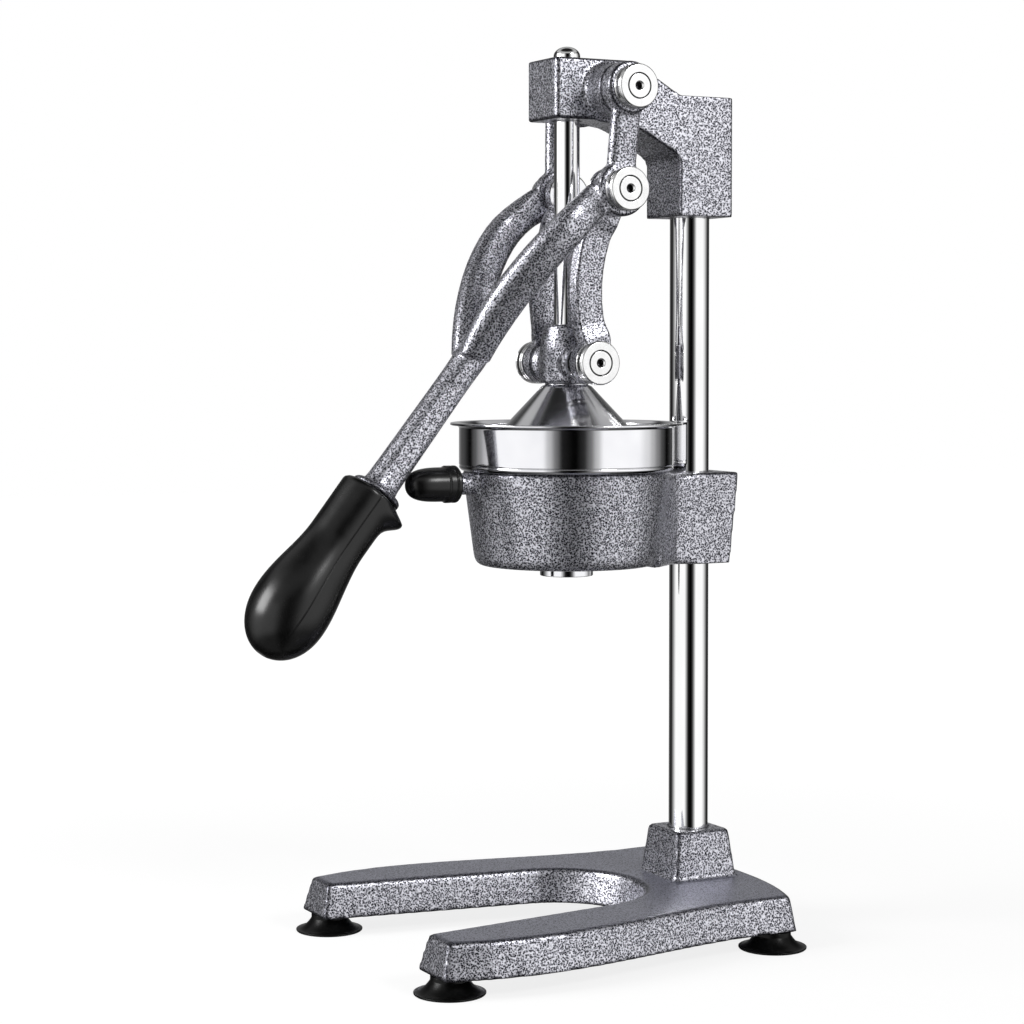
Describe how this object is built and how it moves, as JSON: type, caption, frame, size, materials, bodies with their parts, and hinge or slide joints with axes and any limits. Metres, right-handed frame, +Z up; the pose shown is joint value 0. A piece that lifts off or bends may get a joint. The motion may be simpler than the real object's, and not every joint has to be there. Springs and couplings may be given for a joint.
{
  "type": "lever citrus juice press",
  "caption": "Free-standing citrus press: a forked hand lever drives a sliding ram and bell down over a strainer cup on a column stand.",
  "frame": {"origin": "on the table, under the middle of the press's footprint", "axes": "+Z up along the column, -Y to the front where the handle is, +X to the right side seen from the front"},
  "size_m": [0.199, 0.2987, 0.4868],
  "materials": {
    "hammertone_casting": "grey hammertone enamel, semi-gloss, finely mottled",
    "mirror_chrome": "mirror chrome",
    "stainless_sheet": "polished stainless sheet",
    "turned_steel": "satin, finely turned",
    "zinc_steel": "zinc plated",
    "dark_steel": "black oxide",
    "black_plastic": "glossy",
    "black_rubber": "smooth, semi-gloss"
  },
  "bodies": {
    "stand": {"base_casting": "hammertone_casting", "foot_front_left": "black_rubber", "foot_front_right": "black_rubber", "foot_rear_left": "black_rubber", "foot_rear_right": "black_rubber", "foot_screws": "zinc_steel", "column": "mirror_chrome", "column_bolt": "zinc_steel", "column_washer": "zinc_steel", "head_casting": "hammertone_casting", "head_set_screws": "dark_steel", "upper_bolt_left": "turned_steel", "upper_bolt_right": "turned_steel", "holder_casting": "hammertone_casting", "holder_set_screws": "dark_steel", "bumper_cap": "black_plastic", "juice_funnel": "stainless_sheet", "strainer": "stainless_sheet"},
    "lever": {"lever_fork": "hammertone_casting", "grip": "black_plastic", "middle_bolt_left": "turned_steel", "middle_bolt_right": "turned_steel"},
    "links": {"link_left": "hammertone_casting", "link_right": "hammertone_casting", "middle_nut_left": "turned_steel", "middle_nut_right": "turned_steel"},
    "ram": {"ram_rod": "mirror_chrome", "rod_cap": "mirror_chrome", "ram_hub": "hammertone_casting", "hub_set_screw": "dark_steel", "hub_washer_left": "stainless_sheet", "hub_washer_right": "stainless_sheet", "lower_bolt_left": "turned_steel", "lower_bolt_right": "turned_steel", "press_bell": "stainless_sheet", "bell_washer": "zinc_steel", "bell_screw": "zinc_steel"}
  },
  "joints": [
    {"name": "lever_swing", "type": "hinge", "parent": "stand", "child": "lever", "pos_m": [0, 0.05368, 0.46196], "axis": [-1, 0, 0], "range_deg": [0, 105]},
    {"name": "ram_slide", "type": "slide", "parent": "stand", "child": "ram", "axis": [0, 0, 1], "range_m": [0, 0.0766]},
    {"name": "link_swing", "type": "hinge", "parent": "ram", "child": "links", "pos_m": [0, 0.03748, 0.3155], "axis": [1, 0, 0], "range_deg": [0, 30.35]}
  ],
  "couplings": [
    {"joint": "ram_slide", "follows": "lever_swing", "m_per_rad": 0.04175},
    {"joint": "link_swing", "follows": "lever_swing", "ratio": 0.2887}
  ]
}
